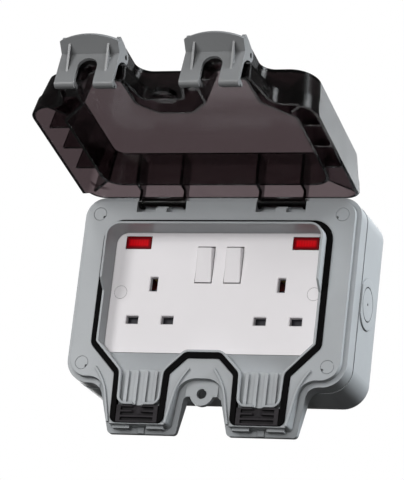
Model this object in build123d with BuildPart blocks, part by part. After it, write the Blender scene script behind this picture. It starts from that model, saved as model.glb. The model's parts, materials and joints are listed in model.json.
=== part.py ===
from build123d import *
import os

# Outdoor twin socket with a hinged, latched lid. Millimetres, +Z up, the front faces -Y.
# The origin is in the middle of the flat back that lies on the wall, level with the fixing screws
# of the socket. A "depth" is a distance forward from that wall.

# Body, seen from the front
body_half_width = 86.5
body_top = 57.5
body_bottom = -57.7
top_corner_r = 12.0
bottom_corner_r = 14.5
shoulder_r = 8.0

# Cable chutes that hang below the body
chute_x = 37.0
chute_root_half = 27.1
chute_end_half = 21.2
chute_end = -86.4
chute_corner_r = 2.5
chute_back_depth = 36.2
chute_lip_depth = 39.2
saddle_z = -64.9
saddle_r = 2.0

# Depths from the wall
box_depth = 34.5
plate_depth = 41.0
flange_depth = 46.0
border_depth = 50.0
lip_low_depth = 51.6
lip_high_depth = 58.5
lip_end_depth = 51.0

# Walls and gaps
box_wall = 3.0
frame_wall = 3.4
flange_floor = 2.0
fit_gap = 0.3
seat_gap = 0.15

# Border of the front frame
border_margin = 3.0
chute_border_margin = 3.5
border_saddle_z = -54.9
border_saddle_r = 12.0
pad_end = -83.2

# Seal loop around the opening, on its centre line
seal_half_width = 69.6
seal_top = 40.5
seal_side_end = -34.3
seal_chute_half = 15.6
seal_chute_end_half = 14.9
seal_chute_top = -52.0
seal_band_z = -41.1
seal_band_half = 10.4
seal_end = -80.8
seal_top_r = 10.5
seal_corner_r = 4.0
seal_end_r = 2.2
groove_width = 3.6
groove_floor_depth = 47.0
seal_height_depth = 51.0
lip_wall = 1.3
lip_end = -73.4
lip_end_r = 7.0
lip_mouth = 6.6
lip_step_low = -2.0
lip_step_high = 4.0

# Cable chute floor and ribs
floor_start_z = -37.5
floor_bend_z = -50.0
floor_end_depth = 48.4
chute_rib_count = 4
chute_rib_pitch = 5.9
chute_rib_width = 2.0
chute_rib_height = 1.6
chute_rib_top = -50.6
bar_end = -85.0
bar_root = 0.7
bar_depth = 43.3
bar_lid_gap = 0.5
bar_gap = 10.6
spout_width = 4.0
spout_height = 1.4
ridge_width = 1.2
ridge_height = 1.4
ridge_inset = 0.8
ridge_top = (66.4, -49.1)
ridge_bend = (61.9, -55.6)
ridge_foot_z = -64.0

# Cable seals
seal_base_depth = 49.3
seal_lip = 1.2
seal_lip_count = 4
seal_post = 2.8
seal_dip_r = 3.4
seal_dip_depth = 52.2
seal_dip_lips = 2

# Padlock eye
padlock_z = -63.1
padlock_hole_r = 3.0
padlock_eye_r = 7.2
padlock_eye_back = 42.8

# Frame screws and their caps
frame_screw_x = 75.8
frame_screw_top = 46.1
frame_screw_bottom = -46.6
cap_r = 3.9
cap_thickness = 2.4
cap_notch = 1.6
frame_screw_r = 1.9
frame_screw_head_r = 3.4
frame_screw_head = 2.2
frame_screw_engagement = 16.0
frame_boss_r = 5.4
box_pillar_r = 4.6

# Lid hinge
hinge_depth = 46.5
hinge_z = 54.5
hinge_bar_r = 2.75
hinge_bar_gap = 0.06
hinge_eye_r = 4.0
notch_inner = 22.0
notch_outer = 52.8
notch_bottom = 47.5
notch_depth = 42.2
notch_wall = 2.0
lug_thickness = 1.8
lug_side_gap = 0.7
knuckle_width = 7.0
knuckle_wrap_r = 3.9
knuckle_mouth = 0.8
knuckle_tab = 2.5
lid_open_angle = 99.8

# Lid
lid_margin = 0.3
lid_wall = 1.8
lid_rim_depth = 47.3
lid_hinge_rim_depth = 50.7
lid_hinge_rim_z = 44.5
lid_step_depth = 57.0
lid_front_depth = 72.3
lid_side_draft = 4.2
lid_saddle_front = -53.5
lid_saddle_front_r = 9.0
lobe_half = 14.8
lobe_end = -84.3
lobe_front_end = -83.4
lobe_corner_r = 4.0
lid_seal_wall = 1.8
lid_seal_wall_depth = 51.4
lid_seal_wall_outward = 0.7
lid_seal_wall_draft = 3.8
lid_seal_wall_end = -76.8
lid_gusset = 1.6
lid_gusset_depth = 52.2
lid_gusset_pitch = 23.6
lid_gusset_middle = -1.5
cord_arch_half = 6.2
cord_arch_depth = 58.5
tab_thickness = 3.0
tab_depth = 48.6
tab_hole_r = 3.2

# Latches
latch_pivot_depth = 64.1
latch_pivot_z = -81.3
latch_open_angle = 6.5
latch_half = 17.4
latch_wall = 2.2
latch_plate_z = -88.4
latch_bend_depth = 60.5
latch_hook_back = 40.4
latch_hook_front = 42.6
latch_hook_tip = -83.5
latch_toe = 38.2
latch_toe_rise = 1.6
latch_leg = 11.6
latch_pull_angle = 57.5
latch_pull_side = 8.2
latch_pull_middle = 12.0
latch_ear_gap = 0.3
latch_ear_r = 3.8
latch_ear_foot = 53.5
latch_ear_step = (57.7, -85.4)
latch_flap_depth = 68.7
latch_flap_end = -94.4
latch_gusset = 1.4
latch_gusset_foot = 44.5
latch_pin_r = 1.5
latch_pin_fit = 0.02
latch_pin_running = 0.06
latch_pin_inset = 0.8

# Socket module
plate_half_width = 68.0
plate_top = 41.0
plate_bottom = -37.3
plate_corner_r = 4.5
plate_thickness = 4.0
module_screw_x = 60.3
module_screw_r = 1.7
module_screw_head_r = 3.2
module_screw_head = 2.0
module_screw_length = 24.0
cover_r = 3.9
cover_thickness = 1.2
outlet_x = 39.9
earth_z = 5.25
earth_slot = (4.6, 8.7)
pole_x = 11.1
pole_z = -17.0
pole_slot = (7.5, 4.9)
neon_x = 52.4
neon_z = 31.1
neon_size = (16.4, 8.1)
neon_frame = 0.9
neon_rise = 0.3
slot_chamfer = 0.5
rocker_x = 9.03
rocker_z = 17.45
rocker_opening = (10.9, 22.9)
rocker_gap = 0.3
rocker_half_length = 10.5
rocker_rise = 2.5
rocker_ridge = 0.3
rocker_back = 5.5
rocker_pivot_depth = 39.2
rocker_trunnion_r = 1.2
rocker_trunnion_length = 1.4
rocker_tilt = 9.0
rocker_taper = 0.9

# Inside of the socket module
housing_half_width = 58.5
housing_half_height = 35.5
housing_back_depth = 14.0
housing_wall = 2.0
housing_screw_clear = 5.0
shutter_size = (30.0, 8.0)
shutter_thickness = 1.4
shutter_gap = 0.4
shutter_travel = 6.6
shutter_tongue = (4.0, 3.0)
shutter_foot = 1.2
shutter_guide = 1.0
spring_r = 2.2
spring_bore = 1.5
spring_depth = 33.2
contact_wall = 1.0
contact_width = 6.4
contact_front_depth = 34.0
pole_pin = 4.6
earth_pin = (4.6, 8.7)
strip_width = 4.0
earth_strip_depth = 17.0
neutral_strip_depth = 20.0
live_strip_depth = 23.0
feed_strip_depth = 27.0
neutral_strip_z = -26.0
live_strip_z = 15.0
terminal_size = 8.0
terminal_pitch = 15.0
terminal_z = 28.0
terminal_screw_r = 1.6
terminal_screw_head_r = 2.6
terminal_height = 6.0
terminal_bore_r = 1.5
terminal_screw_reach = 1.8
lamp_r = 2.0
lamp_length = 7.0
post_r = 2.0

# Wall box
screw_play = 0.05
module_pillar_r = 4.0
box_rim = 0.8
box_rim_step = 0.5
box_seal_width = 1.4
box_seal_margin = 1.1
box_seal_depth = 1.5
wall_hole_x = 60.0
wall_hole_z = 36.0
wall_hole_r = 2.6
wall_hole_head_r = 5.0
wall_hole_boss = 2.0
knockout_depth = 21.3
knockout_boss_r = 15.2
knockout_rise = 0.8
knockout_ring_r = 10.5
knockout_ring_width = 0.7
knockout_dot_r = 0.9

os.makedirs("parts", exist_ok=True)
SIDES = {"left": -1, "right": 1}


def front(depth):
    """Plane that faces forward at a depth from the wall, with x to the right and y up."""
    return Plane.XZ.offset(depth)


def side(x):
    """Plane across the body at x, with its own x forward from the wall and its own y up."""
    return Plane(origin=(x, 0, 0), x_dir=(0, -1, 0), z_dir=(-1, 0, 0))


def about_x(depth, z, angle):
    """A turn about the line along X through a depth and a height."""
    centre = Location((0, -depth, z))
    return centre * Location((0, 0, 0), (angle, 0, 0)) * centre.inverse()


lid_swing = about_x(hinge_depth, hinge_z, -lid_open_angle)
latch_swing = lid_swing * about_x(latch_pivot_depth, latch_pivot_z, -latch_open_angle)


def turned(plane, swing):
    """A plane of the closed socket, carried along with the lid or a latch."""
    return Plane(swing * plane.location)


def both_sides(right):
    """A whole outline, clockwise, from the corners (x, z, radius) of its right half."""
    return right + [(-x, z, r) for x, z, r in reversed(right)]


def inset(loop, margin):
    """An outline moved inwards by a margin, with its rounded corners kept concentric."""
    moved = []
    for index, (x, z, r) in enumerate(loop):
        before = Vector(*loop[index - 1][:2])
        after = Vector(*loop[(index + 1) % len(loop)][:2])
        here = Vector(x, z)
        arriving = (here - before).normalized()
        leaving = (after - here).normalized()
        normals = Vector(arriving.Y + leaving.Y, -arriving.X - leaving.X)
        place = here + normals * (margin / (1 + arriving.dot(leaving)))
        turn = arriving.X * leaving.Y - arriving.Y * leaving.X
        radius = r - margin if turn < 0 else r + margin
        moved.append((place.X, place.Y, max(radius, 0.2)))
    return moved


def draw(loop, mode=Mode.ADD):
    """Fill an outline of rounded corners in the sketch that is open."""
    with BuildLine() as path:
        FilletPolyline(*[(x, z) for x, z, r in loop], radius=[r for x, z, r in loop], close=True)
    make_face(path.edges(), mode=mode)


def chute_half(z):
    """Half width of a cable chute at a height."""
    share = (z - body_bottom) / (chute_end - body_bottom)
    return chute_root_half + (chute_end_half - chute_root_half) * share


def body_loop(margin, chute_margin, end, saddle, saddle_radius, end_r):
    """Outline of body and chutes, drawn in by margins, with the chutes' end and the saddle between."""
    bottom = body_bottom + margin
    return both_sides(
        [
            (body_half_width - margin, body_top - margin, top_corner_r - margin),
            (body_half_width - margin, bottom, bottom_corner_r - margin),
            (chute_x + chute_half(bottom) - chute_margin, bottom, shoulder_r + margin),
            (chute_x + chute_half(end) - chute_margin, end, end_r),
            (chute_x - chute_half(end) + chute_margin, end, end_r),
            (chute_x - chute_half(saddle) + chute_margin, saddle, saddle_radius),
        ]
    )


def seal_loop(end, end_r):
    """Centre line of the lid seal, with the lower end that it has in the chutes."""
    return both_sides(
        [
            (seal_half_width, seal_top, seal_top_r),
            (seal_half_width, seal_side_end, seal_corner_r),
            (chute_x + seal_chute_half, seal_chute_top, seal_corner_r),
            (chute_x + seal_chute_end_half, end, end_r),
            (chute_x - seal_chute_end_half, end, end_r),
            (chute_x - seal_chute_half, seal_chute_top, seal_corner_r),
            (seal_band_half, seal_band_z, seal_corner_r),
        ]
    )


def lobe_loop(half_width, top, bottom, lobe, end, saddle, saddle_radius):
    """Outline of the lid's raised part, whose two lobes carry the latches."""
    return both_sides(
        [
            (half_width, top, top_corner_r),
            (half_width, bottom, bottom_corner_r),
            (chute_x + lobe, bottom, shoulder_r),
            (chute_x + lobe, end, lobe_corner_r),
            (chute_x - lobe, end, lobe_corner_r),
            (chute_x - lobe, saddle, saddle_radius),
        ]
    )


def write(piece, name):
    """Label a finished piece and write its file."""
    piece.part.label = name
    export_step(piece.part, f"parts/{name}.step")


body = both_sides(
    [
        (body_half_width, body_top, top_corner_r),
        (body_half_width, body_bottom, bottom_corner_r),
    ]
)
flange = body_loop(0, 0, chute_end, saddle_z, saddle_r, chute_corner_r)
border = body_loop(
    border_margin, chute_border_margin, pad_end, border_saddle_z, border_saddle_r, chute_corner_r
)
seal_line = seal_loop(seal_end, seal_end_r)
lip_line = seal_loop(lip_end, lip_end_r)
frame_screws_at = [
    (x, z) for x in (-frame_screw_x, frame_screw_x) for z in (frame_screw_top, frame_screw_bottom)
]
pillar_ribs_at = [(x * (body_half_width / frame_screw_x + 1) / 2, z) for x, z in frame_screws_at]
chutes_at = [(-chute_x, 0), (chute_x, 0)]

# Space inside the inner lip: open to the socket above, closed below by the sloping chute floors
with BuildPart() as opening:
    with BuildSketch(front(0)):
        draw(inset(lip_line, groove_width / 2 + lip_wall))
    extrude(amount=lip_high_depth + 1)
    with BuildSketch(side(0)):
        Polygon(
            (0, floor_start_z),
            (plate_depth, floor_start_z),
            (floor_end_depth, floor_bend_z),
            (floor_end_depth, chute_end),
            (0, chute_end),
            align=None,
        )
    extrude(amount=body_half_width, both=True, mode=Mode.SUBTRACT)

# Chute floors, a slab inside the raised front that runs into the solid chutes
with BuildPart() as chute_floors:
    with BuildSketch(side(0)):
        Polygon(
            (plate_depth - frame_wall, floor_start_z),
            (plate_depth + 1, floor_start_z),
            (floor_end_depth + 1, floor_bend_z),
            (floor_end_depth + 1, body_bottom - 1),
            (chute_back_depth, body_bottom - 1),
            (chute_back_depth, body_bottom + frame_wall),
            align=None,
        )
    extrude(amount=seal_half_width, both=True)
    with BuildSketch(front(0)):
        draw(border)
    extrude(amount=border_depth, mode=Mode.INTERSECT)

# Front frame
with BuildPart() as front_frame:
    with BuildSketch(front(box_depth)):
        draw(flange)
    extrude(amount=flange_depth - box_depth)
    # the eye of the padlock
    with BuildSketch(front(padlock_eye_back)):
        with Locations((0, padlock_z)):
            Circle(padlock_eye_r)
    extrude(amount=flange_depth - padlock_eye_back)
    # chutes and eye are thin behind, and the chutes' rims fall away towards their ends
    with BuildSketch(front(box_depth)):
        with Locations((0, body_bottom)):
            Rectangle(2 * body_half_width, -2 * chute_end, align=(Align.CENTER, Align.MAX))
    extrude(amount=chute_back_depth - box_depth, mode=Mode.SUBTRACT)
    with BuildSketch(front(box_depth)):
        with Locations((0, body_bottom)):
            Rectangle(
                2 * (chute_x - chute_half(body_bottom)), -2 * chute_end, align=(Align.CENTER, Align.MAX)
            )
    extrude(amount=padlock_eye_back - box_depth, mode=Mode.SUBTRACT)
    for x, z in chutes_at:
        with BuildSketch(side(x)):
            Polygon(
                (flange_depth, body_bottom),
                (flange_depth + 1, body_bottom),
                (flange_depth + 1, chute_end - 1),
                (chute_lip_depth, chute_end),
                align=None,
            )
        extrude(amount=chute_root_half, both=True, mode=Mode.SUBTRACT)
    # hollow behind, with tubes for the screws and solid ground behind the hinge notches
    with BuildSketch(front(box_depth)):
        draw(inset(body, frame_wall))
    extrude(amount=flange_depth - flange_floor - box_depth, mode=Mode.SUBTRACT)
    with BuildSketch(front(chute_back_depth)):
        draw(border)
    extrude(amount=border_depth - chute_back_depth)
    with BuildSketch(front(chute_back_depth)):
        draw(inset(body, frame_wall))
    extrude(amount=flange_depth - flange_floor - chute_back_depth, mode=Mode.SUBTRACT)
    with BuildSketch(front(box_depth)):
        with Locations(*frame_screws_at):
            Circle(frame_boss_r)
    extrude(amount=border_depth - box_depth)
    for x in (-1, 1):
        with BuildSketch(front(notch_depth - notch_wall)):
            with Locations((x * (notch_inner + notch_outer) / 2, notch_bottom - notch_wall)):
                Rectangle(
                    notch_outer - notch_inner + 2 * notch_wall,
                    body_top - border_margin - notch_bottom + notch_wall,
                    align=(Align.CENTER, Align.MIN),
                )
        extrude(amount=border_depth - notch_depth)
    add(chute_floors.part)
    # inner lip, tall above and low below, with a slanted step between
    with BuildSketch(front(plate_depth)):
        draw(inset(lip_line, groove_width / 2))
    extrude(amount=lip_high_depth - plate_depth)
    with BuildSketch(side(0)):
        Polygon(
            (lip_high_depth + 1, lip_step_high),
            (lip_high_depth, lip_step_high),
            (lip_low_depth, lip_step_low),
            (lip_low_depth, lip_end + seal_corner_r),
            (lip_end_depth, lip_end),
            (lip_end_depth, chute_end),
            (lip_high_depth + 1, chute_end),
            align=None,
        )
    extrude(amount=body_half_width, both=True, mode=Mode.SUBTRACT)
    # groove of the lid seal
    with BuildSketch(front(groove_floor_depth)):
        draw(inset(seal_line, -groove_width / 2))
        draw(inset(lip_line, groove_width / 2), mode=Mode.SUBTRACT)
    extrude(amount=lip_high_depth - groove_floor_depth, mode=Mode.SUBTRACT)
    add(opening.part, mode=Mode.SUBTRACT)
    # bars behind which the latches hook, with a spout between them for the cord
    for x, z in chutes_at:
        with BuildSketch(front(bar_depth)):
            with Locations((x, pad_end + bar_root)):
                Rectangle(
                    2 * (chute_half(pad_end) - chute_border_margin - chute_corner_r),
                    pad_end + bar_root - bar_end,
                    align=(Align.CENTER, Align.MAX),
                )
                Rectangle(bar_gap, bar_root - chute_end, align=(Align.CENTER, Align.MAX), mode=Mode.SUBTRACT)
        extrude(amount=lid_rim_depth - bar_lid_gap - bar_depth)
        with BuildSketch(side(x)):
            Polygon(
                (chute_back_depth + 1, chute_end),
                (chute_lip_depth + spout_height, chute_end),
                (chute_lip_depth + 2 * spout_height, pad_end + 1),
                (chute_back_depth + 1, pad_end + 1),
                align=None,
            )
        extrude(amount=spout_width / 2, both=True)
        # the lip is open in the middle of its end, where the cord goes
        with BuildSketch(front(floor_end_depth)):
            with Locations((x, lip_end)):
                Rectangle(lip_mouth, 3 * groove_width, align=(Align.CENTER, Align.MIN))
        extrude(amount=lip_high_depth - floor_end_depth, mode=Mode.SUBTRACT)
        # ribs that the cord lies on
        for index in range(chute_rib_count):
            rib_x = x + (index - (chute_rib_count - 1) / 2) * chute_rib_pitch
            with BuildSketch(front(floor_end_depth - 1)):
                with Locations((rib_x, chute_rib_top - chute_rib_width / 2)):
                    Circle(chute_rib_width / 2)
                    Rectangle(
                        chute_rib_width,
                        chute_rib_top - chute_rib_width / 2 - lip_end - groove_width / 2,
                        align=(Align.CENTER, Align.MAX),
                    )
            extrude(amount=1 + chute_rib_height)
        # ridges along the edges of the chute pads
        for turn in (-1, 1):
            ridge_margin = chute_border_margin + ridge_inset
            ridge_end = pad_end + ridge_inset
            with BuildSketch(front(border_depth - 1)):
                with BuildLine():
                    ThreePointArc(
                        (x + turn * (ridge_top[0] - chute_x), ridge_top[1]),
                        (x + turn * (ridge_bend[0] - chute_x), ridge_bend[1]),
                        (x + turn * (chute_half(ridge_foot_z) - ridge_margin), ridge_foot_z),
                    )
                    Line(
                        (x + turn * (chute_half(ridge_foot_z) - ridge_margin), ridge_foot_z),
                        (x + turn * (chute_half(ridge_end) - ridge_margin), ridge_end),
                    )
                trace(line_width=ridge_width)
            extrude(amount=1 + ridge_height)
    # hinge notches, each with a knuckle that holds the lid's bar
    for turn in (-1, 1):
        notch_x = turn * (notch_inner + notch_outer) / 2
        with BuildSketch(front(notch_depth)):
            with Locations((notch_x, notch_bottom)):
                Rectangle(notch_outer - notch_inner, body_top, align=(Align.CENTER, Align.MIN))
        extrude(amount=border_depth, mode=Mode.SUBTRACT)
        with BuildSketch(side(notch_x)):
            with Locations((hinge_depth, hinge_z)):
                Circle(knuckle_wrap_r)
            with Locations((notch_depth, hinge_z - knuckle_wrap_r)):
                Rectangle(hinge_depth - notch_depth, 2 * knuckle_wrap_r, align=(Align.MIN, Align.MIN))
            with Locations((notch_depth, notch_bottom)):
                Rectangle(2 * notch_wall, 2 * knuckle_wrap_r, align=(Align.MIN, Align.MIN))
            with Locations((hinge_depth, hinge_z)):
                Circle(hinge_bar_r + hinge_bar_gap, mode=Mode.SUBTRACT)
            with Locations((hinge_depth + knuckle_mouth, hinge_z)):
                Rectangle(
                    knuckle_wrap_r, 2 * knuckle_wrap_r, align=(Align.MIN, Align.CENTER), mode=Mode.SUBTRACT
                )
            with Locations((hinge_depth, body_top)):
                Rectangle(
                    4 * knuckle_wrap_r, knuckle_wrap_r, align=(Align.CENTER, Align.MIN), mode=Mode.SUBTRACT
                )
            with Locations((notch_depth, notch_bottom)):
                Rectangle(border_depth - notch_depth, knuckle_tab, align=(Align.MIN, Align.MIN))
        extrude(amount=knuckle_width / 2, both=True)
    # holes for the frame screws and their caps, and the padlock hole
    with BuildSketch(front(border_depth)):
        with Locations(*frame_screws_at):
            Circle(cap_r + seat_gap)
    extrude(amount=-cap_thickness, mode=Mode.SUBTRACT)
    with BuildSketch(front(border_depth - cap_thickness)):
        with Locations(*frame_screws_at):
            Circle(frame_screw_head_r + seat_gap)
    extrude(amount=-frame_screw_head, mode=Mode.SUBTRACT)
    with BuildSketch(front(border_depth)):
        with Locations(*frame_screws_at):
            Circle(frame_screw_r + seat_gap)
        with Locations((0, padlock_z)):
            Circle(padlock_hole_r)
    extrude(amount=-border_depth, mode=Mode.SUBTRACT)
write(front_frame, "front_frame")

# Wall box
box_outline = inset(body, -fit_gap)
with BuildPart() as back_box:
    with BuildSketch(front(0)):
        draw(box_outline)
    extrude(amount=box_depth - box_rim)
    with BuildSketch(front(box_depth - box_rim)):
        draw(inset(body, box_rim_step))
    extrude(amount=box_rim)
    with BuildSketch(front(box_wall)):
        draw(inset(body, frame_wall))
    extrude(amount=box_depth, mode=Mode.SUBTRACT)
    with BuildSketch(front(box_wall)):
        with Locations(*frame_screws_at):
            Circle(box_pillar_r)
    extrude(amount=box_depth - box_wall)
    with BuildSketch(front(box_wall)):
        with Locations((-module_screw_x, 0), (module_screw_x, 0)):
            Circle(module_pillar_r)
    extrude(amount=plate_depth - plate_thickness - box_wall)
    # the pillars stand on ribs to the nearest wall
    with BuildSketch(front(box_wall)):
        with Locations(*[(x - box_wall / 2 * (1 if x > 0 else -1), z) for x, z in pillar_ribs_at]):
            Rectangle(body_half_width - frame_screw_x, box_wall)
    extrude(amount=box_depth - 2 * box_wall)
    with BuildSketch(front(box_wall)):
        with GridLocations(2 * wall_hole_x, 2 * wall_hole_z, 2, 2):
            Circle(wall_hole_head_r)
    extrude(amount=wall_hole_boss)
    with BuildSketch(front(0)):
        with GridLocations(2 * wall_hole_x, 2 * wall_hole_z, 2, 2):
            Circle(wall_hole_r)
    extrude(amount=2 * box_wall, mode=Mode.SUBTRACT)
    # screw holes
    with BuildSketch(front(box_depth)):
        with Locations(*frame_screws_at):
            Circle(frame_screw_r + screw_play)
    extrude(amount=-frame_screw_engagement - 1, mode=Mode.SUBTRACT)
    with BuildSketch(front(plate_depth)):
        with Locations((-module_screw_x, 0), (module_screw_x, 0)):
            Circle(module_screw_r + screw_play)
    extrude(amount=-module_screw_length, mode=Mode.SUBTRACT)
    # groove of the cord between box and frame
    with BuildSketch(front(box_depth - box_seal_depth)):
        draw(inset(body, box_seal_margin))
        draw(inset(body, box_seal_margin + box_seal_width), mode=Mode.SUBTRACT)
    extrude(amount=box_seal_depth, mode=Mode.SUBTRACT)
    # round knock-outs for conduit, one on each side
    for turn in SIDES.values():
        with BuildSketch(side(turn * (body_half_width + fit_gap))):
            with Locations((knockout_depth, 0)):
                Circle(knockout_boss_r)
            with Locations((box_depth - box_rim, 0)):
                Rectangle(
                    knockout_boss_r, 2 * knockout_boss_r, align=(Align.MIN, Align.CENTER), mode=Mode.SUBTRACT
                )
        extrude(amount=-turn * knockout_rise)
        with BuildSketch(side(turn * (body_half_width + fit_gap + knockout_rise))):
            with Locations((knockout_depth, 0)):
                Circle(knockout_ring_r)
                Circle(knockout_ring_r - knockout_ring_width, mode=Mode.SUBTRACT)
                Circle(knockout_dot_r)
        extrude(amount=turn * knockout_rise, mode=Mode.SUBTRACT)
write(back_box, "back_box")

# Cord that seals the frame to the box
with BuildPart() as box_seal:
    with BuildSketch(front(box_depth - box_seal_depth)):
        draw(inset(body, box_seal_margin + seat_gap))
        draw(inset(body, box_seal_margin + box_seal_width - seat_gap), mode=Mode.SUBTRACT)
    extrude(amount=box_seal_depth)
write(box_seal, "box_seal")

# Screws that hold the frame, and the caps over them
screw_seat = border_depth - cap_thickness - frame_screw_head
with BuildPart() as frame_screws:
    with BuildSketch(front(screw_seat)):
        with Locations(*frame_screws_at):
            Circle(frame_screw_head_r)
    extrude(amount=frame_screw_head - seat_gap)
    with BuildSketch(front(screw_seat)):
        with Locations(*frame_screws_at):
            Circle(frame_screw_r)
    extrude(amount=-(screw_seat - box_depth + frame_screw_engagement))
    with BuildSketch(front(border_depth - cap_thickness)):
        with Locations(*frame_screws_at):
            Rectangle(4, 0.8)
            Rectangle(0.8, 4)
    extrude(amount=-1.2, mode=Mode.SUBTRACT)
write(frame_screws, "frame_screws")

with BuildPart() as screw_caps:
    with BuildSketch(front(border_depth - cap_thickness)):
        with Locations(*frame_screws_at):
            Circle(cap_r)
    extrude(amount=cap_thickness)
    with BuildSketch(front(border_depth)):
        with Locations(*[(x - cap_r * 0.75 * (1 if x > 0 else -1), z - cap_r * 0.5) for x, z in frame_screws_at]):
            Circle(cap_notch / 2)
    extrude(amount=-1, mode=Mode.SUBTRACT)
write(screw_caps, "screw_caps")

# Rubber loop that the lid closes on; it passes low under the cable seals
with BuildPart() as lid_gasket:
    with BuildSketch(front(groove_floor_depth)):
        draw(inset(seal_line, seat_gap - groove_width / 2))
        draw(inset(seal_line, groove_width / 2 - seat_gap), mode=Mode.SUBTRACT)
    extrude(amount=seal_height_depth - groove_floor_depth)
    with BuildSketch(front((groove_floor_depth + border_depth) / 2)):
        with Locations(*[(x, seal_end + groove_width / 2) for x, z in chutes_at]):
            Rectangle(2 * seal_chute_end_half - groove_width, 2 * groove_width, align=(Align.CENTER, Align.MAX))
    extrude(amount=border_depth, mode=Mode.SUBTRACT)
write(lid_gasket, "lid_gasket")

# Rubber blocks at the chute ends, lipped, with a dip for the cord
for name, turn in SIDES.items():
    seal_half = seal_chute_end_half - groove_width / 2 - seat_gap
    seal_block_top = lip_end + groove_width / 2 - fit_gap
    seal_block_end = seal_end - groove_width / 2 + seat_gap
    with BuildPart() as cable_seal:
        with BuildSketch(front(groove_floor_depth)):
            with Locations((turn * chute_x, seal_block_top)):
                Rectangle(2 * seal_half, seal_block_top - seal_block_end, align=(Align.CENTER, Align.MAX))
        extrude(amount=seal_base_depth - groove_floor_depth)
        with BuildSketch(front(groove_floor_depth)):
            with Locations((turn * chute_x, seal_end + groove_width / 2)):
                Rectangle(2 * seal_chute_half, groove_width * 2, align=(Align.CENTER, Align.MAX))
        extrude(amount=(border_depth - groove_floor_depth) / 2 + seat_gap, mode=Mode.SUBTRACT)
        for index in range(seal_lip_count):
            lip_z = seal_block_top - index * (seal_block_top - seal_block_end - seal_lip) / (seal_lip_count - 1)
            with BuildSketch(front(seal_base_depth)):
                with Locations((turn * chute_x, lip_z)):
                    Rectangle(2 * seal_half, seal_lip, align=(Align.CENTER, Align.MAX))
            extrude(amount=seal_height_depth - seal_base_depth)
        with BuildSketch(front(seal_base_depth)):
            for post in SIDES.values():
                with Locations((turn * chute_x + post * (seal_half - seal_post / 2), seal_block_top)):
                    Rectangle(seal_post, seal_block_top - seal_block_end, align=(Align.CENTER, Align.MAX))
        extrude(amount=seal_height_depth - seal_base_depth)
        seal_pitch = (seal_block_top - seal_block_end - seal_lip) / (seal_lip_count - 1)
        with BuildSketch(Plane.XY.offset(seal_block_top + 1)):
            with Locations((turn * chute_x, -seal_dip_depth)):
                Circle(seal_dip_r)
        extrude(amount=-1 - (seal_dip_lips - 1) * seal_pitch - (seal_pitch + seal_lip) / 2, mode=Mode.SUBTRACT)
    write(cable_seal, f"cable_seal_{name}")


def lid_share(depth):
    """How far a depth lies from the lid's rim towards its front panel."""
    return (depth - lid_rim_depth) / (lid_front_depth - lid_rim_depth)


def lid_saddle(depth):
    """Height of the lid's saddle between the lobes at a depth."""
    return saddle_z + lid_margin + (lid_saddle_front - saddle_z) * lid_share(depth)


def lid_saddle_radius(depth):
    """Corner radius of that saddle at a depth."""
    return saddle_r + (lid_saddle_front_r - saddle_r) * lid_share(depth)


def skirt_loop(depth):
    """Outside of the lid's skirt at a depth."""
    draft = lid_margin + lid_side_draft * lid_share(depth)
    return body_loop(
        draft, draft, chute_end + draft, lid_saddle(depth), lid_saddle_radius(depth), chute_corner_r
    )


def dome_loop(depth):
    """Outside of the lid's raised front at a depth."""
    draft = lid_margin + lid_side_draft * lid_share(depth)
    rise = (depth - lid_step_depth) / (lid_front_depth - lid_step_depth)
    return lobe_loop(
        body_half_width - draft,
        body_top - draft,
        body_bottom + draft,
        lobe_half,
        lobe_end + (lobe_front_end - lobe_end) * rise,
        lid_saddle(depth),
        lid_saddle_radius(depth),
    )


def lid_front(depth):
    """Plane that faces forward on the closed lid, carried to where the lid stands."""
    return turned(front(depth), lid_swing)


def lid_side(x):
    """Plane across the closed lid, carried to where the lid stands."""
    return turned(side(x), lid_swing)


lid_inner_step = lid_step_depth - lid_wall
lid_inner_front = lid_front_depth - lid_wall

# Lid: its outside as a solid, then the inner wall and ribs, then the whole moulding
with BuildPart() as lid_outside:
    with BuildSketch(lid_front(lid_rim_depth)):
        draw(skirt_loop(lid_rim_depth))
    with BuildSketch(lid_front(lid_step_depth)):
        draw(skirt_loop(lid_step_depth))
    loft(ruled=True)
    with BuildSketch(lid_front(lid_step_depth)):
        draw(dome_loop(lid_step_depth))
    with BuildSketch(lid_front(lid_front_depth)):
        draw(dome_loop(lid_front_depth))
    loft(ruled=True)

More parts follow.
